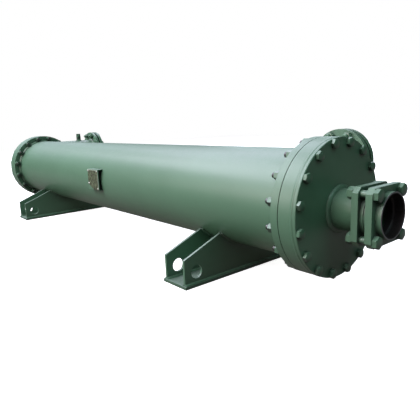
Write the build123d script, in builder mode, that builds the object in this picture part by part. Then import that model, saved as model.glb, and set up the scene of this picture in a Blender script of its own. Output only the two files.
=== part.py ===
"""Shell and tube heat exchanger, standing on two welded saddles.

The shell lies along X with its front head towards +X.  Its two water nozzles leave sideways along +Y, near
the crown of the shell.  The refrigerant connection on each head is a pair of bolted square flanges.
The origin is the middle of the front saddle's foot, on the ground.
"""

import os
from math import cos, radians, sin

from build123d import *

# Shell
SHELL_OD = 323.9
SHELL_WALL = 10.0
SHELL_LENGTH = 2137.0
AXIS_HEIGHT = 258.0

# Heads: tube sheet, gasket, head ring and cover plate share one bolt circle
HEAD_OD = 390.0
SHEET_THICKNESS = 24.0
GASKET_THICKNESS = 2.0
GASKET_RECESS = 3.0
RING_LENGTH = 42.0
RING_WALL = 40.0
COVER_THICKNESS = 14.0
COVER_EDGE = 1.5

# Refrigerant connection: a neck in the cover and two square flanges with raised faces
NECK_OD = 114.3
NECK_WALL = 6.0
NECK_REACH = 79.5
SQUARE_MARGIN = 9.0
SQUARE_CORNER = 14.0
SQUARE_THICKNESS = 18.0
RAISED_BAND = 9.85
RAISED_HEIGHT = 9.0
RING_GASKET_RECESS = 3.0
RING_GASKET_THICKNESS = 2.0
SOCKET_WALL = 4.0
SOCKET_LENGTH = 16.0
SOCKET_DEPTH = 28.0

# Water nozzles: a neck on the shell, a raised-face flange and its companion flange
WATER_INSET = 106.0
WATER_RISE = 100.0
WATER_NECK_OD = 114.3
WATER_NECK_WALL = 6.0
WATER_PORT_STEP = 4.15
WATER_REACH = 279.0
WATER_FLANGE_BAND = 47.85
WATER_FLANGE_THICKNESS = 15.0
WATER_RAISED_HEIGHT = 3.0
WATER_RAISED_MARGIN = 1.5
WATER_GASKET_BAND = 16.0
WATER_GASKET_STEP = 2.0
WATER_GASKET_THICKNESS = 3.0

# Vent on the rear water neck: a threaded socket closed by a hexagon plug
VENT_FROM_FLANGE = 82.0
VENT_SOCKET_OD = 27.0
VENT_SOCKET_WALL = 5.5
VENT_SOCKET_HEIGHT = 30.0
PLUG_FLATS = 22.0
PLUG_HEIGHT = 13.0
PLUG_STEM = 12.0
PLUG_CLEARANCE = 0.2

# Saddles: two drilled webs standing on a foot plate
SADDLE_INSET = 330.0
FOOT_LENGTH = 560.0
FOOT_WIDTH = 120.0
FOOT_THICKNESS = 10.0
FOOT_LIP = 8.0
FOOT_END_LIP = 4.0
WEB_THICKNESS = 8.0
WEB_END_HEIGHT = 92.0
WEB_WRAP = 97.8
WEB_HOLE = 44.0
WEB_HOLE_INSET = 47.0
WEB_HOLE_HEIGHT = 47.0

# Rating plate on a bent bracket
BRACKET_WIDTH = 100.0
BRACKET_HEIGHT = 93.0
BRACKET_SHEET = 3.0
BRACKET_STANDOFF = 13.5
BRACKET_RISE = 12.5
PLATE_MARGIN = 2.0
PLATE_THICKNESS = 1.5
PLATE_CUT_WIDTH = 46.0
PLATE_CUT_HEIGHT = 24.0

# Room for the weld where a piece seats on a round one, and round a pipe before it is welded in
WELD_GAP = 0.2
PIPE_GAP = 0.35

# Sizes that follow from the ones above
SHELL_RADIUS = SHELL_OD / 2
RING_BORE = HEAD_OD - 2 * RING_WALL
GASKET_OD = HEAD_OD - 2 * GASKET_RECESS
NECK_BORE = NECK_OD - 2 * NECK_WALL
RAISED_OD = NECK_OD + 2 * RAISED_BAND
RING_GASKET_OD = RAISED_OD - 2 * RING_GASKET_RECESS
SQUARE_SIDE = RAISED_OD + 2 * SQUARE_MARGIN
SOCKET_BORE = NECK_OD + 2 * PIPE_GAP
SOCKET_OD = SOCKET_BORE + 2 * SOCKET_WALL
WATER_NECK_BORE = WATER_NECK_OD - 2 * WATER_NECK_WALL
WATER_PORT = WATER_NECK_BORE - 2 * WATER_PORT_STEP
WATER_FLANGE_OD = WATER_NECK_OD + 2 * WATER_FLANGE_BAND
COMPANION_BORE = WATER_NECK_OD + 2 * PIPE_GAP
WATER_GASKET_BORE = COMPANION_BORE + 2 * WATER_GASKET_STEP
WATER_GASKET_OD = WATER_GASKET_BORE + 2 * WATER_GASKET_BAND
WATER_RAISED_OD = WATER_GASKET_OD + 2 * WATER_RAISED_MARGIN
VENT_SOCKET_BORE = VENT_SOCKET_OD - 2 * VENT_SOCKET_WALL
SADDLE_SPACING = SHELL_LENGTH - 2 * SADDLE_INSET
WEB_SPREAD = FOOT_WIDTH - 2 * FOOT_LIP
WEB_LENGTH = FOOT_LENGTH - 2 * FOOT_END_LIP
WEB_HOLE_SPACING = WEB_LENGTH - 2 * WEB_HOLE_INSET
BRACKET_FRONT = SHELL_RADIUS + BRACKET_STANDOFF

# Places that follow, measured outwards from the middle of the shell
MIDDLE_X = -SADDLE_SPACING / 2
SHEET_START = SHELL_LENGTH / 2
GASKET_START = SHEET_START + SHEET_THICKNESS
RING_START = GASKET_START + GASKET_THICKNESS
COVER_START = RING_START + RING_LENGTH
COVER_FACE = COVER_START + COVER_THICKNESS
INNER_FLANGE_START = COVER_FACE + NECK_REACH
INNER_FLANGE_FACE = INNER_FLANGE_START + SQUARE_THICKNESS + RAISED_HEIGHT
OUTER_FLANGE_FACE = INNER_FLANGE_FACE + RING_GASKET_THICKNESS
OUTER_FLANGE_START = OUTER_FLANGE_FACE + RAISED_HEIGHT
SOCKET_START = OUTER_FLANGE_START + SQUARE_THICKNESS
SOCKET_END = SOCKET_START + SOCKET_LENGTH
WATER_PLACE = SHEET_START - WATER_INSET
WATER_RAISED_START = WATER_REACH + WATER_FLANGE_THICKNESS
WATER_GASKET_START = WATER_RAISED_START + WATER_RAISED_HEIGHT
COMPANION_FACE = WATER_GASKET_START + WATER_GASKET_THICKNESS
COMPANION_START = COMPANION_FACE + WATER_RAISED_HEIGHT
VENT_PLACE = WATER_REACH - VENT_FROM_FLANGE
VENT_TOP = AXIS_HEIGHT + WATER_RISE + WATER_NECK_OD / 2 + VENT_SOCKET_HEIGHT

ENDS = {"front": 1, "rear": -1}


def end_plane(side, distance):
    """A plane across the shell's axis, facing out of that end.

    Its own X points down, so the seam of each pipe and ring lies underneath.
    """
    place = (MIDDLE_X + side * distance, 0, AXIS_HEIGHT)
    return Plane(origin=place, x_dir=(0, 0, -1), z_dir=(side, 0, 0))


def water_plane(side, distance):
    """A plane across a water nozzle's axis, facing away from the shell, with its own Y pointing up."""
    place = (MIDDLE_X + side * WATER_PLACE, distance, AXIS_HEIGHT + WATER_RISE)
    return Plane(origin=place, x_dir=(-1, 0, 0), z_dir=(0, 1, 0))


def save(made, name):
    """Labels a finished piece and writes it under its own name."""
    made.part.label = name
    export_step(made.part, f"parts/{name}.step")


def make_shell():
    """The pipe with a port through its wall under each water neck."""
    with BuildPart() as shell:
        with BuildSketch(end_plane(1, SHELL_LENGTH / 2)):
            Circle(SHELL_RADIUS)
            Circle(SHELL_RADIUS - SHELL_WALL, mode=Mode.SUBTRACT)
        extrude(amount=-SHELL_LENGTH)
        for side in ENDS.values():
            with BuildSketch(water_plane(side, 0)):
                Circle(WATER_PORT / 2)
            extrude(amount=SHELL_OD, mode=Mode.SUBTRACT)
    save(shell, "shell")


def make_head(end, side):
    """Tube sheet, gasket, head ring and cover plate of one end."""
    with BuildPart() as sheet:
        with BuildSketch(end_plane(side, SHEET_START)):
            Circle(HEAD_OD / 2)
        extrude(amount=SHEET_THICKNESS)
    save(sheet, f"{end}_tube_sheet")

    with BuildPart() as gasket:
        with BuildSketch(end_plane(side, GASKET_START)):
            Circle(GASKET_OD / 2)
            Circle(RING_BORE / 2, mode=Mode.SUBTRACT)
        extrude(amount=GASKET_THICKNESS)
    save(gasket, f"{end}_head_gasket")

    with BuildPart() as head_ring:
        with BuildSketch(end_plane(side, RING_START)):
            Circle(HEAD_OD / 2)
            Circle(RING_BORE / 2, mode=Mode.SUBTRACT)
        extrude(amount=RING_LENGTH)
    save(head_ring, f"{end}_head_ring")

    with BuildPart() as cover:
        with BuildSketch(end_plane(side, COVER_START)):
            Circle(HEAD_OD / 2)
            Circle(NECK_OD / 2 + WELD_GAP, mode=Mode.SUBTRACT)
        extrude(amount=COVER_THICKNESS)
        face = cover.faces().sort_by(Axis.X)[-1 if side > 0 else 0]
        rim = face.edges().sort_by(SortBy.RADIUS)[-1]
        chamfer(rim, COVER_EDGE)
    save(cover, f"{end}_cover_plate")


def make_refrigerant_connection(end, side):
    """The neck in the cover, the flange on it, the ring gasket and the outer flange with its pipe socket."""
    with BuildPart() as neck:
        with BuildSketch(end_plane(side, COVER_START)):
            Circle(NECK_OD / 2)
            Circle(NECK_BORE / 2, mode=Mode.SUBTRACT)
        extrude(amount=INNER_FLANGE_START + SQUARE_THICKNESS - COVER_START)
    save(neck, f"{end}_neck")

    with BuildPart() as inner:
        with BuildSketch(end_plane(side, INNER_FLANGE_START)) as outline:
            Rectangle(SQUARE_SIDE, SQUARE_SIDE)
            chamfer(outline.vertices(), SQUARE_CORNER)
        extrude(amount=SQUARE_THICKNESS)
        with BuildSketch(end_plane(side, INNER_FLANGE_FACE)):
            Circle(RAISED_OD / 2)
        extrude(amount=-RAISED_HEIGHT)
        with BuildSketch(end_plane(side, INNER_FLANGE_FACE)):
            Circle(NECK_OD / 2 + WELD_GAP)
        extrude(amount=-RAISED_HEIGHT - SQUARE_THICKNESS, mode=Mode.SUBTRACT)
    save(inner, f"{end}_inner_flange")

    with BuildPart() as gasket:
        with BuildSketch(end_plane(side, INNER_FLANGE_FACE)):
            Circle(RING_GASKET_OD / 2)
            Circle(SOCKET_BORE / 2, mode=Mode.SUBTRACT)
        extrude(amount=RING_GASKET_THICKNESS)
    save(gasket, f"{end}_ring_gasket")

    with BuildPart() as outer:
        with BuildSketch(end_plane(side, OUTER_FLANGE_START)) as outline:
            Rectangle(SQUARE_SIDE, SQUARE_SIDE)
            chamfer(outline.vertices(), SQUARE_CORNER)
        extrude(amount=SQUARE_THICKNESS)
        with BuildSketch(end_plane(side, OUTER_FLANGE_FACE)):
            Circle(RAISED_OD / 2)
        extrude(amount=RAISED_HEIGHT)
        with BuildSketch(end_plane(side, SOCKET_START)):
            Circle(SOCKET_OD / 2)
        extrude(amount=SOCKET_LENGTH)
        with BuildSketch(end_plane(side, OUTER_FLANGE_FACE)):
            Circle(NECK_BORE / 2)
        extrude(amount=SOCKET_END - OUTER_FLANGE_FACE, mode=Mode.SUBTRACT)
        with BuildSketch(end_plane(side, SOCKET_END)):
            Circle(SOCKET_BORE / 2)
        extrude(amount=-SOCKET_DEPTH, mode=Mode.SUBTRACT)
    save(outer, f"{end}_outer_flange")


def make_water_nozzle(end, side, shell_seat):
    """The neck seated on the shell, its raised-face flange, the gasket and the companion flange."""
    with BuildPart() as neck:
        with BuildSketch(water_plane(side, 0)):
            Circle(WATER_NECK_OD / 2)
            Circle(WATER_NECK_BORE / 2, mode=Mode.SUBTRACT)
        extrude(amount=WATER_GASKET_START)
        add(shell_seat.part, mode=Mode.SUBTRACT)
    save(neck, f"{end}_water_neck")

    with BuildPart() as flange:
        with BuildSketch(water_plane(side, WATER_REACH)):
            Circle(WATER_FLANGE_OD / 2)
            Circle(WATER_NECK_OD / 2 + WELD_GAP, mode=Mode.SUBTRACT)
        extrude(amount=WATER_FLANGE_THICKNESS)
        with BuildSketch(water_plane(side, WATER_RAISED_START)):
            Circle(WATER_RAISED_OD / 2)
            Circle(WATER_NECK_OD / 2 + WELD_GAP, mode=Mode.SUBTRACT)
        extrude(amount=WATER_RAISED_HEIGHT)
    save(flange, f"{end}_water_flange")

    with BuildPart() as gasket:
        with BuildSketch(water_plane(side, WATER_GASKET_START)):
            Circle(WATER_GASKET_OD / 2)
            Circle(WATER_GASKET_BORE / 2, mode=Mode.SUBTRACT)
        extrude(amount=WATER_GASKET_THICKNESS)
    save(gasket, f"{end}_water_gasket")

    with BuildPart() as companion:
        with BuildSketch(water_plane(side, COMPANION_FACE)):
            Circle(WATER_RAISED_OD / 2)
            Circle(COMPANION_BORE / 2, mode=Mode.SUBTRACT)
        extrude(amount=WATER_RAISED_HEIGHT)
        with BuildSketch(water_plane(side, COMPANION_START)):
            Circle(WATER_FLANGE_OD / 2)
            Circle(COMPANION_BORE / 2, mode=Mode.SUBTRACT)
        extrude(amount=WATER_FLANGE_THICKNESS)
    save(companion, f"{end}_companion_flange")


def make_vent():
    """The socket on the crown of the rear water neck and the plug screwed into it."""
    side = ENDS["rear"]
    top_plane = Plane(origin=(MIDDLE_X + side * WATER_PLACE, VENT_PLACE, VENT_TOP))
    with BuildPart() as socket:
        with BuildSketch(top_plane):
            Circle(VENT_SOCKET_OD / 2)
            Circle(VENT_SOCKET_BORE / 2, mode=Mode.SUBTRACT)
        extrude(amount=-VENT_SOCKET_HEIGHT - VENT_SOCKET_OD / 2)
        with BuildSketch(water_plane(side, WATER_REACH)):
            Circle(WATER_NECK_OD / 2 + WELD_GAP)
        extrude(amount=-WATER_REACH, mode=Mode.SUBTRACT)
    save(socket, "vent_socket")

    with BuildPart() as plug:
        with BuildSketch(top_plane):
            RegularPolygon(PLUG_FLATS / 2, 6, major_radius=False)
        extrude(amount=PLUG_HEIGHT)
        with BuildSketch(top_plane):
            Circle(VENT_SOCKET_BORE / 2 - PLUG_CLEARANCE)
        extrude(amount=-PLUG_STEM)
    save(plug, "vent_plug")


def make_saddle(end, side):
    """The foot plate and its two webs, each cut to the shell's round and drilled near both ends."""
    middle = MIDDLE_X + side * SADDLE_SPACING / 2
    with BuildPart() as foot:
        with BuildSketch(Plane(origin=(middle, 0, 0))):
            Rectangle(FOOT_WIDTH, FOOT_LENGTH)
        extrude(amount=FOOT_THICKNESS)
    save(foot, f"{end}_saddle_foot")

    half = WEB_LENGTH / 2
    seat = SHELL_RADIUS * sin(radians(WEB_WRAP / 2))
    seat_height = AXIS_HEIGHT - SHELL_RADIUS * cos(radians(WEB_WRAP / 2))
    for place, towards in (("outer", side), ("inner", -side)):
        outside = middle + towards * WEB_SPREAD / 2
        with BuildPart() as web:
            with BuildSketch(Plane(origin=(outside, 0, 0), x_dir=(0, 1, 0), z_dir=(1, 0, 0))):
                with BuildLine():
                    Polyline(
                        (0, FOOT_THICKNESS),
                        (half, FOOT_THICKNESS),
                        (half, WEB_END_HEIGHT),
                        (seat, seat_height),
                        (0, AXIS_HEIGHT),
                        close=True,
                    )
                make_face()
                mirror(about=Plane.YZ)
                with Locations((0, AXIS_HEIGHT)):
                    Circle(SHELL_RADIUS + WELD_GAP, mode=Mode.SUBTRACT)
                with Locations((0, WEB_HOLE_HEIGHT)), GridLocations(WEB_HOLE_SPACING, 0, 2, 1):
                    Circle(WEB_HOLE / 2, mode=Mode.SUBTRACT)
            extrude(amount=-towards * WEB_THICKNESS)
        save(web, f"{end}_saddle_{place}_web")


def make_rating_plate(shell_seat):
    """The bent bracket on the shell's near side and the blank plate riveted to it."""
    place = (MIDDLE_X, -BRACKET_FRONT, AXIS_HEIGHT + BRACKET_RISE)
    front = Plane(origin=place, x_dir=(1, 0, 0), z_dir=(0, -1, 0))
    with BuildPart() as bracket:
        with BuildSketch(front):
            Rectangle(BRACKET_WIDTH, BRACKET_HEIGHT)
        extrude(amount=-BRACKET_FRONT)
        with BuildSketch(front.offset(-BRACKET_SHEET)):
            Rectangle(BRACKET_WIDTH, BRACKET_HEIGHT - 2 * BRACKET_SHEET)
        extrude(amount=-BRACKET_FRONT, mode=Mode.SUBTRACT)
        add(shell_seat.part, mode=Mode.SUBTRACT)
    save(bracket, "plate_bracket")

    with BuildPart() as plate:
        with BuildSketch(front) as outline:
            Rectangle(BRACKET_WIDTH - 2 * PLATE_MARGIN, BRACKET_HEIGHT - 2 * PLATE_MARGIN)
            corner = outline.vertices().group_by(Axis.X)[0].sort_by(Axis.Y)[0]
            chamfer(corner, PLATE_CUT_HEIGHT, PLATE_CUT_WIDTH)
        extrude(amount=PLATE_THICKNESS)
    save(plate, "rating_plate")


def main():
    os.makedirs("parts", exist_ok=True)
    with BuildPart() as shell_seat:
        with BuildSketch(end_plane(1, SHELL_LENGTH / 2)):
            Circle(SHELL_RADIUS + WELD_GAP)
        extrude(amount=-SHELL_LENGTH)
    make_shell()
    for end, side in ENDS.items():
        make_head(end, side)
        make_refrigerant_connection(end, side)
        make_water_nozzle(end, side, shell_seat)
        make_saddle(end, side)
    make_vent()
    make_rating_plate(shell_seat)


main()
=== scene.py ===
"""Looks of the shell and tube heat exchanger: paint, bolts, weld beads, tube ends, light and camera.

Lengths are in metres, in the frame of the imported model: +X towards the front head, +Y the way the water
nozzles leave, +Z up.
"""

import math

import bmesh
import bpy
from mathutils import Matrix, Vector


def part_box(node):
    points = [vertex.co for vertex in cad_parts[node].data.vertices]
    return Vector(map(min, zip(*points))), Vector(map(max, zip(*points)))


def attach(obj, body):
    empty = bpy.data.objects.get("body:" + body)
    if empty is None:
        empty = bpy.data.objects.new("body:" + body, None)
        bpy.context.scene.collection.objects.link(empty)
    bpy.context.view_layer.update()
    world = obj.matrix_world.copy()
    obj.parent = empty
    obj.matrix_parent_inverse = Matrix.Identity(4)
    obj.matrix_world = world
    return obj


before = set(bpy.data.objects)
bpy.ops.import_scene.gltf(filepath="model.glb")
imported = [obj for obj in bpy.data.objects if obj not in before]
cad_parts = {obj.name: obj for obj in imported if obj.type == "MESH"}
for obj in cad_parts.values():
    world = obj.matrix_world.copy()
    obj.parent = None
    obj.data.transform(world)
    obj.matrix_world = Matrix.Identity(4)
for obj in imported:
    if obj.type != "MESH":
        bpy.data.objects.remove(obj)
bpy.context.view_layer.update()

ENDS = {"front": 1, "rear": -1}
ALONG = Vector((1, 0, 0))
OUT = Vector((0, 1, 0))
UP = Vector((0, 0, 1))
SHARP_ANGLE = math.radians(35)

# Sizes read from the frame
SHELL_LOW, SHELL_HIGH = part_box("shell")
AXIS_HEIGHT = (SHELL_LOW.z + SHELL_HIGH.z) / 2
SHELL_RADIUS = (SHELL_HIGH.z - SHELL_LOW.z) / 2
MIDDLE_X = (SHELL_LOW.x + SHELL_HIGH.x) / 2
HEAD_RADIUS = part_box("front_cover_plate")[1].y
NECK_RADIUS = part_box("front_neck")[1].y
SOCKET_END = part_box("front_outer_flange")[1].x - MIDDLE_X
WATER_LOW, WATER_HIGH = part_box("front_water_neck")
WATER_RADIUS = (WATER_HIGH.x - WATER_LOW.x) / 2
WATER_HEIGHT = (WATER_HIGH.z + WATER_LOW.z) / 2

# The pipe sockets' length, the radius of their bore with its edge, and a depth inside every pipe's wall
SOCKET_LENGTH = 0.016
PIPE_BORE = 0.0576
HALF_WALL = 0.003

# Bolts: thread diameter, width across flats, head height, nut height, length of thread past the nut
M16 = {"thread": 0.016, "flats": 0.024, "head": 0.010, "nut": 0.0148, "tail": 0.011}
M20 = {"thread": 0.020, "flats": 0.030, "head": 0.0135, "nut": 0.016, "tail": 0.002}
THREAD_CHAMFER = 0.0015
THREAD_SIDES = 16
HEXAGON_POINTS = 36
HEXAGON_CROWN = 0.95
HEXAGON_CONE = math.radians(30)
HEXAGON_REPEAT = 60

# Where the bolts stand, and how many degrees their heads are turned; nuts turn by a multiple of that
HEAD_BOLTS = 16
HEAD_BOLT_EDGE = 0.013
WATER_BOLTS = 8
WATER_BOLT_CIRCLE = 0.175
WATER_BOLT_FIRST = 2
SQUARE_BOLT_SPACING = 0.117
SQUARE_BOLT_TURNS = (2, 5, 9, 4)
BOLT_TURN = 37
NUT_TURN = 1.7

# Weld beads: leg lengths, then the bead's section and ripples
SHELL_BEAD = (0.009, 0.009)
COVER_BEAD = (0.008, 0.011)
NECK_BEAD = (0.007, 0.007)
WEB_BEAD = (0.006, 0.006)
VENT_BEAD = (0.004, 0.004)
SEAM_BEAD = (0.0045, 0.0007)
SEAM_SINK = 0.0002
BEAD_POINTS = 5
BEAD_HOLLOW = 1.35
BEAD_SPACING = 0.0018
RIPPLE_PITCH = 0.005
RIPPLE_LOW = 0.94
RIPPLE_RISE = 0.10
WEB_ARC_STEPS = 160
WEB_LINE_STEPS = 300

# Tube ends on the tube sheets
TUBE_DIAMETER = 0.019
TUBE_WALL = 0.002
TUBE_PITCH = 0.025
TUBE_FIELD = 0.145
TUBE_STAND = 0.003
TUBE_FLOOR = 0.0004
TUBE_SIDES = 20

# Rating plate: width of the painted highlight along its top and right edge, its strength, then its rivets
PLATE_RIM = 0.004
PLATE_HIGHLIGHT_STRENGTH = 0.9
RIVET_RADIUS = 0.0045
RIVET_CROWN = 0.7
RIVET_DOME = (0, 0.4, 0.8, 1.2, 1.5)
RIVET_SIDES = 16
RIVET_INSET = 0.006
RIVET_ABOVE_CUT = 0.027

# Colours, as linear values
PAINT = (0.093, 0.215, 0.129)
PAINT_SHADE = (0.083, 0.195, 0.116)
# Paler colour of dusty level faces, which also stands for a painted sheen
PAINT_DUST_AND_SHEEN = (0.30, 0.36, 0.34)
# Painted shade for corners and for the undersides of bolts
PAINTED_SHADE = (0.012, 0.028, 0.018)
BARE_STEEL = (0.028, 0.023, 0.023)
BARE_RIM = (0.17, 0.165, 0.18)
THREAD = (0.012, 0.018, 0.015)
GASKET = (0.008, 0.010, 0.009)
GASKET_SHADE = (0.014, 0.015, 0.014)
PLATE = (0.118, 0.160, 0.084)
PLATE_GRIME = (0.022, 0.026, 0.011)
PLATE_EDGE_HIGHLIGHT = (0.50, 0.62, 0.51)
RIVET = (0.62, 0.64, 0.58)
RIVET_SHADE = (0.42, 0.44, 0.38)
FITTING = (0.020, 0.030, 0.025)
TUBE = (0.10, 0.075, 0.055)
WHITE = (1.0, 1.0, 1.0)

# Noises in the paint and in plain materials: scale and detail, then the part of the noise that is used
TONE_NOISE = (4.0, 5)
DUST_AND_SHEEN_NOISE = (160.0, 3)
GLOSS_NOISE = (35.0, 4)
RELIEF_NOISE = (420.0, 2)
PATCH_DETAIL = 6
TONE_SPREAD = (0.35, 0.65)
GLOSS_SPREAD = (0.3, 0.7)
PATCH_SPREAD = (0.4, 0.62)

# Ranges of roughness, relief, and how dusty level faces are, with their painted sheen
PAINT_ROUGHNESS = (0.38, 0.42)
BOLT_ROUGHNESS = (0.29, 0.35)
PAINT_SPECULAR = 0.85
PAINT_RELIEF = 0.05
PAINT_EDGE = 0.0014
PLAIN_ROUGHNESS = (-0.08, 0.1)
PLAIN_EDGE = 0.0008
RELIEF_DEPTH = 0.0006
EDGE_SAMPLES = 4
LEVEL_FACES = (0.55, 1.0)
DUST_AND_SHEEN = 0.40
SADDLE_DUST_AND_SHEEN = 1.1

# How far the painted shade reaches out of corners, in general, on the saddles and on the tube sheets
SHADE_REACH = 0.030
SADDLE_SHADE_REACH = 0.05
SHEET_SHADE_REACH = 0.08

# How open a place is where the painted shade is deepest and where it ends, its strength, then the painted
# shade under bolts
CREVICE_OPENNESS = (0.25, 0.90)
CREVICE_SHADE = 0.90
CREVICE_SAMPLES = 6
UNDERSIDE = (0.05, -0.45)
UNDERSIDE_SHADE = 0.85

# Where a colour starts and ends to change: short of a socket's end, short of a nut's face, outside a bore
RIM_BAND = (0.0009, 0.0004)
NUT_BAND = (0.0006, 0.0002)
BORE_BAND = 0.0004

# The floor: half its side, its colours for light that bounces off it and for the eye, and its glow
FLOOR = 9.0
FLOOR_DROP = 0.0005
FLOOR_DARK = (0.045, 0.040, 0.036)
FLOOR_PALE = (0.93, 0.93, 0.93)
FLOOR_WARM = (1.0, 0.86, 0.72)
FLOOR_GLOW = 0.89

# The surround's light, and how much of the floor and the surround shows in glossy paint
AMBIENT = (0.017, 0.017, 0.017)
FLOOR_REFLECTED = 0.10
SURROUND_REFLECTED = 0.055

# Light panels: turn about the vertical from +X, rise above the level, width, height, power and colour
PANEL_DISTANCE = 7.0
PANELS = {
    "far_low": (120, 18, 4.0, 2.6, 50, (0.78, 0.88, 1.0)),
    "rear_low": (180, 20, 5.0, 2.2, 28, (0.76, 0.85, 1.0)),
    "near_low": (240, 18, 4.0, 2.6, 123, (1.0, 0.93, 0.97)),
    "ground_glow": (270, 18, 4.0, 2.6, 110, (1.0, 0.66, 0.62)),
    "rear_right_sky": (150, 48, 4.8, 3.8, 210, (0.82, 0.79, 1.0)),
    "rear_left_sky": (210, 48, 4.8, 3.8, 360, (0.87, 0.84, 1.0)),
    "near_sky": (270, 48, 4.0, 3.6, 330, (0.92, 0.96, 1.0)),
    "front_left_sky": (300, 48, 4.0, 3.6, 52, (1.0, 0.85, 1.0)),
    "front_sky": (0, 40, 4.0, 3.6, 64, (0.62, 1.0, 0.98)),
    "far_fill": (95, 12, 5.0, 2.6, 160, WHITE),
}
# The panels that light the far side without a highlight
MATT_PANELS = ("far_fill",)

# The photograph's camera: place, angles in degrees, lens and sensor in millimetres
CAMERA_PLACE = Vector((1.0683, -1.0179, 0.5075))
CAMERA_YAW = 40.026
CAMERA_PITCH = 11.673
CAMERA_ROLL = -2.349
CAMERA_LENS = 36.972
CAMERA_SENSOR = 36.0


class Mesh:
    """Collects points and faces of one piece that is made from many like shapes."""

    def __init__(self):
        self.points = []
        self.faces = []

    def ring(self, points):
        """Adds points and returns their numbers."""
        first = len(self.points)
        self.points.extend(points)
        return list(range(first, first + len(points)))

    def bridge(self, lower, upper):
        """Adds a band of faces between two closed rings."""
        count = len(lower)
        for i in range(count):
            j = (i + 1) % count
            self.faces.append((lower[i], lower[j], upper[j], upper[i]))

    def cap(self, ring):
        """Adds one face that fills a ring."""
        self.faces.append(tuple(ring))

    def finish(self, name, material, slot):
        """Makes the piece, with outward faces that are smooth up to SHARP_ANGLE, on the root body."""
        mesh = bpy.data.meshes.new(name)
        mesh.from_pydata([tuple(p) for p in self.points], [], self.faces)
        mesh.validate()
        shape = bmesh.new()
        shape.from_mesh(mesh)
        bmesh.ops.recalc_face_normals(shape, faces=shape.faces)
        shape.to_mesh(mesh)
        shape.free()
        mesh.polygons.foreach_set("use_smooth", [True] * len(mesh.polygons))
        mesh.set_sharp_from_angle(angle=SHARP_ANGLE)
        piece = bpy.data.objects.new(name, mesh)
        bpy.context.collection.objects.link(piece)
        mesh.materials.append(material)
        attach(piece, "root")


def across(axis):
    """Two directions square to an axis and to each other, right-handed with it."""
    side = axis.cross(UP) if abs(axis.z) < 0.9 else Vector((1, 0, 0))
    side.normalize()
    return side, axis.cross(side)


def circle(centre, axis, radius, count):
    """Points evenly round a circle."""
    side, over = across(axis)
    turns = [2 * math.pi * i / count for i in range(count)]
    return [centre + radius * (math.cos(t) * side + math.sin(t) * over) for t in turns]


def add_turned(mesh, place, axis, profile, count):
    """A solid of revolution: profile lists (radius, distance along the axis), capped at both ends."""
    rings = [
        mesh.ring(circle(place + along * axis, axis, radius, count)) for radius, along in profile
    ]
    for lower, upper in zip(rings, rings[1:]):
        mesh.bridge(lower, upper)
    mesh.cap(rings[0][::-1])
    mesh.cap(rings[-1])


def add_hexagon(mesh, place, axis, flats, height, turn):
    """A hexagon head or nut whose outer corners are turned off by a cone, as on a real one."""
    side, over = across(axis)
    flat = flats / 2
    crown = HEXAGON_CROWN * flat
    sector = math.pi / 3
    base, shoulder, rim = [], [], []
    for i in range(HEXAGON_POINTS):
        t = 2 * math.pi * i / HEXAGON_POINTS
        reach = flat / math.cos((t + sector / 2) % sector - sector / 2)
        out = math.cos(t + turn) * side + math.sin(t + turn) * over
        drop = (reach - crown) * math.tan(HEXAGON_CONE)
        base.append(place + reach * out)
        shoulder.append(place + reach * out + (height - drop) * axis)
        rim.append(place + crown * out + height * axis)
    rings = [mesh.ring(points) for points in (base, shoulder, rim)]
    mesh.bridge(rings[0], rings[1])
    mesh.bridge(rings[1], rings[2])
    mesh.cap(rings[0][::-1])
    mesh.cap(rings[2])


def add_bolt(mesh, seat, axis, grip, size, degrees):
    """A bolt with its head on seat, pointing back along the axis through grip to its nut."""
    turn = math.radians(degrees)
    add_hexagon(mesh, seat, axis, size["flats"], size["head"], turn)
    radius = size["thread"] / 2
    back = seat - grip * axis
    add_hexagon(mesh, back, -axis, size["flats"], size["nut"], NUT_TURN * turn)
    tail = size["nut"] + size["tail"]
    profile = [
        (radius, -grip),
        (radius, tail - THREAD_CHAMFER),
        (radius - THREAD_CHAMFER, tail),
    ]
    add_turned(mesh, back, -axis, profile, THREAD_SIDES)


def add_fillet(mesh, path, legs, closed):
    """A rippled weld bead along a path of (corner, direction over one face, direction over the other)."""
    rows, run = [], 0.0
    for i, (point, over_one, over_other) in enumerate(path):
        if i:
            run += (point - path[i - 1][0]).length
        size = RIPPLE_LOW + RIPPLE_RISE * abs(math.sin(math.pi * run / RIPPLE_PITCH))
        row = []
        for k in range(BEAD_POINTS):
            a = math.pi / 2 * k / (BEAD_POINTS - 1)
            one = legs[0] * size * math.cos(a) ** BEAD_HOLLOW
            other = legs[1] * size * math.sin(a) ** BEAD_HOLLOW
            row.append(point + one * over_one + other * over_other)
        rows.append(mesh.ring([*row, point]))
    ends = rows[1:] + rows[:1] if closed else rows[1:]
    for row, following in zip(rows, ends):
        mesh.bridge(row, following)
    if not closed:
        mesh.cap(rows[0][::-1])
        mesh.cap(rows[-1])


def ring_path(centre, axis, radius):
    """The corner where a pipe of that radius meets a flat face; the bead lies on the axis side of it."""
    count = int(2 * math.pi * radius / BEAD_SPACING)
    points = circle(centre, axis, radius, count)
    return [(p, axis, (p - centre).normalized()) for p in points]


def branch_path(centre, branch, radius, run, run_radius):
    """The corner where a branch pipe meets a run pipe; centre lies level with the run, under the branch."""
    over = branch.cross(run)
    path = []
    count = int(2 * math.pi * radius / BEAD_SPACING)
    for i in range(count):
        t = 2 * math.pi * i / count
        out = math.cos(t) * run + math.sin(t) * over
        point = centre + radius * out
        offset = (point - run_centre(point, run)).dot(over)
        rise = math.sqrt(run_radius**2 - offset**2)
        foot = point + (rise - (point - run_centre(point, run)).dot(branch)) * branch
        normal = foot - run_centre(foot, run)
        normal.normalize()
        along = out - out.dot(normal) * normal
        path.append((foot, branch, along.normalized()))
    return path


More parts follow.
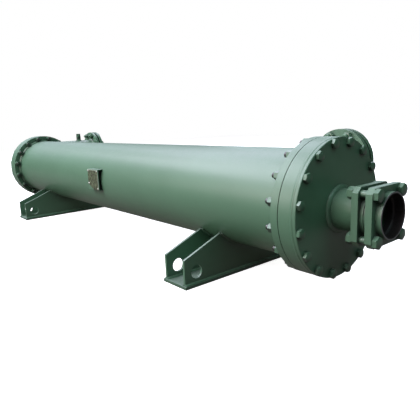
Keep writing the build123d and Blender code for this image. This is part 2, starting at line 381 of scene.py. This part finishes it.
def run_centre(point, run):
    """The nearest point on the run pipe's axis: the shell's for a run along X, else the rear water neck's."""
    if abs(run.x) > 0.5:
        return Vector((point.x, 0, AXIS_HEIGHT))
    return Vector((2 * MIDDLE_X - (WATER_LOW.x + WATER_HIGH.x) / 2, point.y, WATER_HEIGHT))


def nodes_and_links(material):
    """A material's nodes, its links and its shader."""
    material.use_nodes = True
    tree = material.node_tree
    return tree.nodes, tree.links, tree.nodes["Principled BSDF"]


def noise(nodes, links, place, scale, detail):
    """Smooth noise from 0 to 1."""
    made = nodes.new("ShaderNodeTexNoise")
    made.inputs["Scale"].default_value = scale
    made.inputs["Detail"].default_value = detail
    links.new(place, made.inputs["Vector"])
    return made.outputs["Fac"]


def remap(nodes, links, value, low, high, to_low, to_high):
    """A value moved from one range to another, and kept inside it."""
    made = nodes.new("ShaderNodeMapRange")
    made.inputs["From Min"].default_value = low
    made.inputs["From Max"].default_value = high
    made.inputs["To Min"].default_value = to_low
    made.inputs["To Max"].default_value = to_high
    links.new(value, made.inputs["Value"])
    return made.outputs["Result"]


def multiply(nodes, links, first, second):
    """The product of two values."""
    made = nodes.new("ShaderNodeMath")
    made.operation = "MULTIPLY"
    links.new(first, made.inputs[0])
    links.new(second, made.inputs[1])
    return made.outputs["Value"]


def mix(nodes, links, factor, first, second):
    """A colour mix; first and second are colours or the outputs of other nodes."""
    made = nodes.new("ShaderNodeMix")
    made.data_type = "RGBA"
    links.new(factor, made.inputs[0])
    for socket, value in ((made.inputs[6], first), (made.inputs[7], second)):
        if isinstance(value, tuple):
            socket.default_value = (*value, 1)
        else:
            links.new(value, socket)
    return made.outputs[2]


def soft_edges(nodes, links, bsdf, height, strength, radius):
    """Rounds the look of sharp edges and adds a fine relief."""
    bevel = nodes.new("ShaderNodeBevel")
    bevel.samples = EDGE_SAMPLES
    bevel.inputs["Radius"].default_value = radius
    bump = nodes.new("ShaderNodeBump")
    bump.inputs["Strength"].default_value = strength
    bump.inputs["Distance"].default_value = RELIEF_DEPTH
    links.new(height, bump.inputs["Height"])
    links.new(bevel.outputs["Normal"], bump.inputs["Normal"])
    links.new(bump.outputs["Normal"], bsdf.inputs["Normal"])


def axis_distance(nodes, links, place, centre, axis):
    """How far a point lies from an axis along X or Y."""
    move = nodes.new("ShaderNodeVectorMath")
    move.operation = "SUBTRACT"
    move.inputs[1].default_value = centre
    links.new(place, move.inputs[0])
    flatten = nodes.new("ShaderNodeVectorMath")
    flatten.operation = "MULTIPLY"
    flatten.inputs[1].default_value = (1 - abs(axis.x), 1 - abs(axis.y), 1 - abs(axis.z))
    links.new(move.outputs["Vector"], flatten.inputs[0])
    length = nodes.new("ShaderNodeVectorMath")
    length.operation = "LENGTH"
    links.new(flatten.outputs["Vector"], length.inputs[0])
    return length.outputs["Value"]


def middle_distance(nodes, links, place):
    """How far a point lies from the middle of the shell, along X."""
    split = nodes.new("ShaderNodeSeparateXYZ")
    links.new(place, split.inputs[0])
    reach = nodes.new("ShaderNodeMath")
    reach.operation = "SUBTRACT"
    reach.inputs[1].default_value = MIDDLE_X
    links.new(split.outputs["X"], reach.inputs[0])
    size = nodes.new("ShaderNodeMath")
    size.operation = "ABSOLUTE"
    links.new(reach.outputs["Value"], size.inputs[0])
    return size.outputs["Value"]


def corner_shade(nodes, links, distance):
    """How much painted shade a place gets: near 1 deep in corners and under bolt heads, 0 on open faces."""
    shelter = nodes.new("ShaderNodeAmbientOcclusion")
    shelter.samples = CREVICE_SAMPLES
    shelter.inputs["Distance"].default_value = distance
    return remap(nodes, links, shelter.outputs["AO"], *CREVICE_OPENNESS, CREVICE_SHADE, 0)


def make_paint(name, bore=None, bolt=False, dust_and_sheen=DUST_AND_SHEEN, depth=SHADE_REACH, thread=None):
    """Semi-gloss machine paint: uneven tone, dusty level faces with a painted sheen, and painted shade in
    corners.

    On bolts the coat is thicker and glossier, and painted shade darkens their undersides. bore is (centre,
    axis, radius, whether the socket's end face is bare too) and leaves a pipe bare inside. thread is the
    nut's face, as a distance from the middle of the shell, past which bolts are dark.
    """
    material = bpy.data.materials.new(name)
    nodes, links, bsdf = nodes_and_links(material)
    place = nodes.new("ShaderNodeTexCoord").outputs["Object"]
    tone = remap(nodes, links, noise(nodes, links, place, *TONE_NOISE), *TONE_SPREAD, 0, 1)
    colour = mix(nodes, links, tone, PAINT, PAINT_SHADE)
    facing = nodes.new("ShaderNodeSeparateXYZ")
    links.new(nodes.new("ShaderNodeNewGeometry").outputs["Normal"], facing.inputs[0])
    # Level faces paler: partly dusty, partly a painted sheen
    level = remap(nodes, links, facing.outputs["Z"], *LEVEL_FACES, 0, dust_and_sheen)
    dusty_and_sheened = multiply(nodes, links, level, noise(nodes, links, place, *DUST_AND_SHEEN_NOISE))
    colour = mix(nodes, links, dusty_and_sheened, colour, PAINT_DUST_AND_SHEEN)
    # Painted shade in corners and close to other parts
    colour = mix(nodes, links, corner_shade(nodes, links, depth), colour, PAINTED_SHADE)
    roughness = BOLT_ROUGHNESS if bolt else PAINT_ROUGHNESS
    gloss = remap(nodes, links, noise(nodes, links, place, *GLOSS_NOISE), *GLOSS_SPREAD, *roughness)
    # Painted shade on the faces of bolts that look down
    if bolt:
        under = remap(nodes, links, facing.outputs["Z"], *UNDERSIDE, 0, UNDERSIDE_SHADE)
        colour = mix(nodes, links, under, colour, PAINTED_SHADE)
    # Bolts darker past the nut's face
    if thread:
        reach = middle_distance(nodes, links, place)
        start, finish = (thread - band for band in NUT_BAND)
        past_nut = remap(nodes, links, reach, start, finish, 1, 0)
        colour = mix(nodes, links, past_nut, colour, THREAD)
    if bore:
        centre, axis, radius, rim = bore
        distance = axis_distance(nodes, links, place, centre, axis)
        if rim:
            reach = middle_distance(nodes, links, place)
            start, finish = (SOCKET_END - band for band in RIM_BAND)
            at_rim = remap(nodes, links, reach, start, finish, 0, 1)
            colour = mix(nodes, links, at_rim, colour, BARE_RIM)
        inside = remap(nodes, links, distance, radius, radius + BORE_BAND, 1, 0)
        colour = mix(nodes, links, inside, colour, BARE_STEEL)
    links.new(colour, bsdf.inputs["Base Color"])
    links.new(gloss, bsdf.inputs["Roughness"])
    bsdf.inputs["Specular IOR Level"].default_value = PAINT_SPECULAR
    relief = noise(nodes, links, place, *RELIEF_NOISE)
    soft_edges(nodes, links, bsdf, relief, PAINT_RELIEF, PAINT_EDGE)
    return material


def make_plain(name, colour, other, scale, roughness, metallic, relief):
    """A mottled material of two colours with a fine relief."""
    material = bpy.data.materials.new(name)
    nodes, links, bsdf = nodes_and_links(material)
    place = nodes.new("ShaderNodeTexCoord").outputs["Object"]
    patches = noise(nodes, links, place, scale, PATCH_DETAIL)
    share = remap(nodes, links, patches, *PATCH_SPREAD, 0, 1)
    smooth, dull = (roughness + change for change in PLAIN_ROUGHNESS)
    gloss = remap(nodes, links, patches, *GLOSS_SPREAD, smooth, dull)
    links.new(mix(nodes, links, share, colour, other), bsdf.inputs["Base Color"])
    links.new(gloss, bsdf.inputs["Roughness"])
    bsdf.inputs["Metallic"].default_value = metallic
    soft_edges(nodes, links, bsdf, patches, relief, PLAIN_EDGE)
    return material


def make_rating_plate():
    """Dull etched metal, mottled, with a painted highlight along its top and right edge."""
    material = make_plain(
        "rating_plate_metal", PLATE, PLATE_GRIME, scale=95.0, roughness=0.62, metallic=0.0, relief=0.6
    )
    nodes, links = material.node_tree.nodes, material.node_tree.links
    bsdf = nodes["Principled BSDF"]
    colour = bsdf.inputs["Base Color"].links[0].from_socket
    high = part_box("rating_plate")[1]
    split = nodes.new("ShaderNodeSeparateXYZ")
    links.new(nodes.new("ShaderNodeTexCoord").outputs["Object"], split.inputs[0])
    # Painted highlight along the plate's top and right edge
    for socket, edge in (("X", high.x), ("Z", high.z)):
        near = remap(nodes, links, split.outputs[socket], edge - PLATE_RIM, edge, 0, PLATE_HIGHLIGHT_STRENGTH)
        colour = mix(nodes, links, near, colour, PLATE_EDGE_HIGHLIGHT)
    links.new(colour, bsdf.inputs["Base Color"])
    return material


def dress(node, material):
    """Gives a node of the frame its finished material."""
    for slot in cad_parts[node].material_slots:
        slot.material = material


def end_face(node, side, outer):
    """Where a node's outer or inner end face lies along X, at the end of the shell on that side."""
    low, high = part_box(node)
    return high.x if (side > 0) == outer else low.x


def make_head_bolts(end, side, material):
    """The through bolts of one head: heads on the cover, nuts behind the tube sheet."""
    face = end_face(f"{end}_cover_plate", side, True)
    back = end_face(f"{end}_tube_sheet", side, False)
    reach = HEAD_RADIUS - HEAD_BOLT_EDGE
    mesh = Mesh()
    for i in range(HEAD_BOLTS):
        turn = 2 * math.pi * (i + 0.5) / HEAD_BOLTS
        seat = Vector((face, reach * math.cos(turn), AXIS_HEIGHT + reach * math.sin(turn)))
        degrees = BOLT_TURN * i % HEXAGON_REPEAT
        add_bolt(mesh, seat, side * ALONG, abs(face - back), M16, degrees)
    mesh.finish(f"{end}_head_bolts", material, "paint")


def make_square_bolts(end, side, material):
    """The four bolts of one square-flange joint."""
    back = end_face(f"{end}_inner_flange", side, False)
    face = MIDDLE_X + side * (SOCKET_END - SOCKET_LENGTH)
    half = SQUARE_BOLT_SPACING / 2
    corners = ((-half, half), (half, half), (half, -half), (-half, -half))
    mesh = Mesh()
    for (y, z), degrees in zip(corners, SQUARE_BOLT_TURNS):
        seat = Vector((face, y, AXIS_HEIGHT + z))
        add_bolt(mesh, seat, side * ALONG, abs(face - back), M20, degrees)
    mesh.finish(f"{end}_square_bolts", material, "paint")


def make_water_bolts(end, material):
    """The bolts of one water-flange joint."""
    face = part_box(f"{end}_companion_flange")[1].y
    low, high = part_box(f"{end}_water_flange")
    middle = (low + high) / 2
    reach = WATER_BOLT_CIRCLE / 2
    mesh = Mesh()
    for i in range(WATER_BOLTS):
        turn = 2 * math.pi * (i + 0.5) / WATER_BOLTS
        seat = Vector((middle.x + reach * math.cos(turn), face, middle.z + reach * math.sin(turn)))
        degrees = BOLT_TURN * (i + WATER_BOLT_FIRST) % HEXAGON_REPEAT
        add_bolt(mesh, seat, OUT, face - low.y, M16, degrees)
    mesh.finish(f"{end}_water_bolts", material, "paint")


def make_head_welds(end, side, material):
    """Beads round the shell at its tube sheet, round the neck at both ends, and the seam of the cover."""
    out = side * ALONG

    def at(node, outer):
        return Vector((end_face(f"{end}_{node}", side, outer), 0, AXIS_HEIGHT))

    mesh = Mesh()
    add_fillet(mesh, ring_path(at("tube_sheet", False), -out, SHELL_RADIUS), SHELL_BEAD, True)
    add_fillet(mesh, ring_path(at("cover_plate", True), out, NECK_RADIUS), COVER_BEAD, True)
    add_fillet(mesh, ring_path(at("inner_flange", False), -out, NECK_RADIUS), NECK_BEAD, True)
    seam = at("cover_plate", False)
    for along in (out, -out):
        add_fillet(mesh, ring_path(seam, along, HEAD_RADIUS - SEAM_SINK), SEAM_BEAD, True)
    mesh.finish(f"{end}_head_welds", material, "paint")


def make_nozzle_welds(end, material):
    """Beads where a water neck leaves the shell and where it enters its flange."""
    low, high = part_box(f"{end}_water_neck")
    centre = Vector(((low.x + high.x) / 2, 0, WATER_HEIGHT))
    flange = Vector((centre.x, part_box(f"{end}_water_flange")[0].y, WATER_HEIGHT))
    mesh = Mesh()
    path = branch_path(centre, OUT, WATER_RADIUS, ALONG, SHELL_RADIUS)
    add_fillet(mesh, path, NECK_BEAD, True)
    add_fillet(mesh, ring_path(flange, -OUT, WATER_RADIUS), NECK_BEAD, True)
    mesh.finish(f"{end}_nozzle_welds", material, "paint")


def make_vent_weld(material):
    """The bead where the vent socket stands on the rear water neck."""
    low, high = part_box("vent_socket")
    centre = Vector(((low.x + high.x) / 2, (low.y + high.y) / 2, WATER_HEIGHT))
    mesh = Mesh()
    path = branch_path(centre, UP, (high.x - low.x) / 2, OUT, WATER_RADIUS)
    add_fillet(mesh, path, VENT_BEAD, True)
    mesh.finish("vent_weld", material, "fitting")


def make_saddle_welds(end, material):
    """Beads along both faces of each web, on the shell above and on the foot below."""
    mesh = Mesh()
    foot_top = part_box(f"{end}_saddle_foot")[1].z
    for place in ("outer", "inner"):
        low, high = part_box(f"{end}_saddle_{place}_web")
        seat = math.acos((AXIS_HEIGHT - high.z) / SHELL_RADIUS)
        for x, away in ((low.x, -ALONG), (high.x, ALONG)):
            arc = []
            for i in range(WEB_ARC_STEPS + 1):
                turn = seat * (2 * i / WEB_ARC_STEPS - 1)
                down = Vector((0, math.sin(turn), -math.cos(turn)))
                arc.append((Vector((x, 0, AXIS_HEIGHT)) + SHELL_RADIUS * down, away, down))
            add_fillet(mesh, arc, WEB_BEAD, False)
            line = []
            for i in range(WEB_LINE_STEPS + 1):
                y = low.y + (high.y - low.y) * i / WEB_LINE_STEPS
                line.append((Vector((x, y, foot_top)), away, UP))
            add_fillet(mesh, line, WEB_BEAD, False)
    mesh.finish(f"{end}_saddle_welds", material, "paint")


def make_tube_ends(end, side, material):
    """The rolled-in tube ends that show on a tube sheet through the open neck, in a triangular pattern."""
    face = end_face(f"{end}_tube_sheet", side, True)
    outer = TUBE_DIAMETER / 2
    inner = outer - TUBE_WALL
    profile = [(outer, 0), (outer, TUBE_STAND), (inner, TUBE_STAND), (inner, TUBE_FLOOR)]
    rows = int(TUBE_FIELD / TUBE_PITCH) + 1
    mesh = Mesh()
    for row in range(-rows, rows + 1):
        for column in range(-rows - 2, rows + 3):
            y = TUBE_PITCH * (column + 0.5 * (row % 2))
            z = TUBE_PITCH * row * math.sqrt(0.75)
            if math.hypot(y, z) + outer < TUBE_FIELD:
                place = Vector((face, y, AXIS_HEIGHT + z))
                add_turned(mesh, place, side * ALONG, profile, TUBE_SIDES)
    mesh.finish(f"{end}_tube_ends", material, "fitting")


def make_rivets(material):
    """Four domed rivets that hold the rating plate, one of them above its clipped corner."""
    low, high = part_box("rating_plate")
    places = (
        (low.x + RIVET_INSET, high.z - RIVET_INSET),
        (high.x - RIVET_INSET, high.z - RIVET_INSET),
        (high.x - RIVET_INSET, low.z + RIVET_INSET),
        (low.x + RIVET_INSET, low.z + RIVET_ABOVE_CUT),
    )
    profile = [
        (RIVET_RADIUS * math.cos(a), RIVET_RADIUS * RIVET_CROWN * math.sin(a)) for a in RIVET_DOME
    ]
    mesh = Mesh()
    for x, z in places:
        add_turned(mesh, Vector((x, low.y, z)), -OUT, profile, RIVET_SIDES)
    mesh.finish("plate_rivets", material, "plate")


def add_panel(name, turn, rise, width, height, power, colour):
    """A soft light aimed at the middle of the shell, from PANEL_DISTANCE away."""
    middle = Vector((MIDDLE_X, 0, AXIS_HEIGHT))
    around, up = math.radians(turn), math.radians(rise)
    level = math.cos(up)
    way = Vector((level * math.cos(around), level * math.sin(around), math.sin(up)))
    lamp = bpy.data.lights.new(name, "AREA")
    lamp.shape = "RECTANGLE"
    lamp.size = width
    lamp.size_y = height
    lamp.energy = power
    lamp.color = colour
    holder = bpy.data.objects.new(name, lamp)
    holder.location = middle + PANEL_DISTANCE * way
    holder.rotation_euler = (-way).to_track_quat("-Z", "Y").to_euler()
    holder.visible_camera = False
    holder.visible_glossy = name not in MATT_PANELS
    bpy.context.collection.objects.link(holder)


def seen_ray(nodes, links, reflected):
    """1 for rays that show a background, from the camera or through glass, less for reflections in paint."""
    path = nodes.new("ShaderNodeLightPath")
    gloss = remap(nodes, links, path.outputs["Is Glossy Ray"], 0, 1, 0, reflected)
    total = path.outputs["Is Camera Ray"]
    for ray in (path.outputs["Is Transmission Ray"], gloss):
        join = nodes.new("ShaderNodeMath")
        join.operation = "MAXIMUM"
        links.new(total, join.inputs[0])
        links.new(ray, join.inputs[1])
        total = join.outputs["Value"]
    return total


def make_stage():
    """A pale floor, a white surround and the light panels."""
    floor_mesh = bpy.data.meshes.new("floor")
    corners = [(-FLOOR, -FLOOR, 0), (FLOOR, -FLOOR, 0), (FLOOR, FLOOR, 0), (-FLOOR, FLOOR, 0)]
    floor_mesh.from_pydata(corners, [], [(0, 1, 2, 3)])
    floor = bpy.data.objects.new("floor", floor_mesh)
    bpy.context.collection.objects.link(floor)
    floor.location = (MIDDLE_X, 0, -FLOOR_DROP)
    material = bpy.data.materials.new("floor_white")
    nodes, links, bsdf = nodes_and_links(material)
    seen = seen_ray(nodes, links, FLOOR_REFLECTED)
    links.new(mix(nodes, links, seen, FLOOR_DARK, FLOOR_PALE), bsdf.inputs["Base Color"])
    links.new(mix(nodes, links, seen, FLOOR_WARM, WHITE), bsdf.inputs["Emission Color"])
    links.new(remap(nodes, links, seen, 0, 1, 0, FLOOR_GLOW), bsdf.inputs["Emission Strength"])
    bsdf.inputs["Roughness"].default_value = 1.0
    bsdf.inputs["Specular IOR Level"].default_value = 0.0
    floor_mesh.materials.append(material)

    world = bpy.data.worlds.new("surround")
    bpy.context.scene.world = world
    world.use_nodes = True
    nodes, links = world.node_tree.nodes, world.node_tree.links
    shade = mix(nodes, links, seen_ray(nodes, links, SURROUND_REFLECTED), AMBIENT, WHITE)
    links.new(shade, nodes["Background"].inputs["Color"])

    for name, settings in PANELS.items():
        add_panel(name, *settings)


def make_camera():
    """The camera at the photograph's place and angle."""
    yaw, pitch, roll = (math.radians(a) for a in (CAMERA_YAW, CAMERA_PITCH, CAMERA_ROLL))
    level = math.cos(pitch)
    forward = Vector((-math.cos(yaw) * level, math.sin(yaw) * level, -math.sin(pitch)))
    right = Vector((math.sin(yaw), math.cos(yaw), 0))
    up = right.cross(forward)
    turned_right = math.cos(roll) * right + math.sin(roll) * up
    turned_up = math.cos(roll) * up - math.sin(roll) * right
    turn = Matrix((turned_right, turned_up, -forward)).transposed()
    data = bpy.data.cameras.new("camera")
    data.lens = CAMERA_LENS
    data.sensor_width = CAMERA_SENSOR
    camera = bpy.data.objects.new("camera", data)
    camera.matrix_world = Matrix.Translation(CAMERA_PLACE) @ turn.to_4x4()
    bpy.context.collection.objects.link(camera)
    bpy.context.scene.camera = camera


def main():
    """Dresses every node, adds the pieces that the solids leave out, and sets the stage."""
    bpy.context.scene.view_settings.view_transform = "Standard"
    paint = make_paint("machine_paint")
    bolt_paint = make_paint("bolt_paint", bolt=True)
    nut_face = SHELL_HIGH.x - MIDDLE_X - M16["nut"]
    head_bolt_paint = make_paint("head_bolt_paint", bolt=True, thread=nut_face)
    saddle_paint = make_paint("saddle_paint", dust_and_sheen=SADDLE_DUST_AND_SHEEN, depth=SADDLE_SHADE_REACH)
    gasket = make_plain(
        "gasket_rubber", GASKET, GASKET_SHADE, scale=90.0, roughness=0.75, metallic=0.0, relief=0.1
    )
    plate = make_rating_plate()
    fitting = make_plain(
        "vent_fitting", FITTING, PAINT_SHADE, scale=60.0, roughness=0.42, metallic=0.0, relief=0.15
    )
    tube = make_plain(
        "tube_metal", TUBE, BARE_STEEL, scale=45.0, roughness=0.5, metallic=0.7, relief=0.1
    )
    rivet = make_plain(
        "rivet_metal", RIVET, RIVET_SHADE, scale=200.0, roughness=0.35, metallic=0.3, relief=0.1
    )
    centre = (MIDDLE_X, 0, AXIS_HEIGHT)
    shell_bore = (centre, ALONG, SHELL_RADIUS - HALF_WALL, False)
    socket = make_paint("socket_paint", (centre, ALONG, PIPE_BORE, True))
    neck = make_paint("neck_paint", (centre, ALONG, NECK_RADIUS - HALF_WALL, False))
    shell = make_paint("shell_paint", shell_bore)
    sheet = make_paint("sheet_paint", shell_bore, depth=SHEET_SHADE_REACH)

    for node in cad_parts:
        dress(node, gasket if "gasket" in node else paint)
    for end, side in ENDS.items():
        low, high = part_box(f"{end}_water_neck")
        water_centre = ((low.x + high.x) / 2, 0, WATER_HEIGHT)
        companion_bore = (water_centre, OUT, PIPE_BORE, False)
        water_bore = (water_centre, OUT, WATER_RADIUS - HALF_WALL, False)
        companion = make_paint(f"{end}_companion_paint", companion_bore)
        water_neck = make_paint(f"{end}_water_neck_paint", water_bore)
        for piece in ("foot", "outer_web", "inner_web"):
            dress(f"{end}_saddle_{piece}", saddle_paint)
        dress(f"{end}_tube_sheet", sheet)
        dress(f"{end}_neck", neck)
        dress(f"{end}_outer_flange", socket)
        dress(f"{end}_water_neck", water_neck)
        dress(f"{end}_companion_flange", companion)
        make_head_bolts(end, side, head_bolt_paint)
        make_square_bolts(end, side, bolt_paint)
        make_water_bolts(end, bolt_paint)
        make_head_welds(end, side, paint)
        make_nozzle_welds(end, paint)
        make_saddle_welds(end, paint)
        make_tube_ends(end, side, tube)
    dress("shell", shell)
    for node in ("vent_socket", "vent_plug"):
        dress(node, fitting)
    dress("rating_plate", plate)
    make_vent_weld(fitting)
    make_rivets(rivet)
    make_stage()
    make_camera()


main()
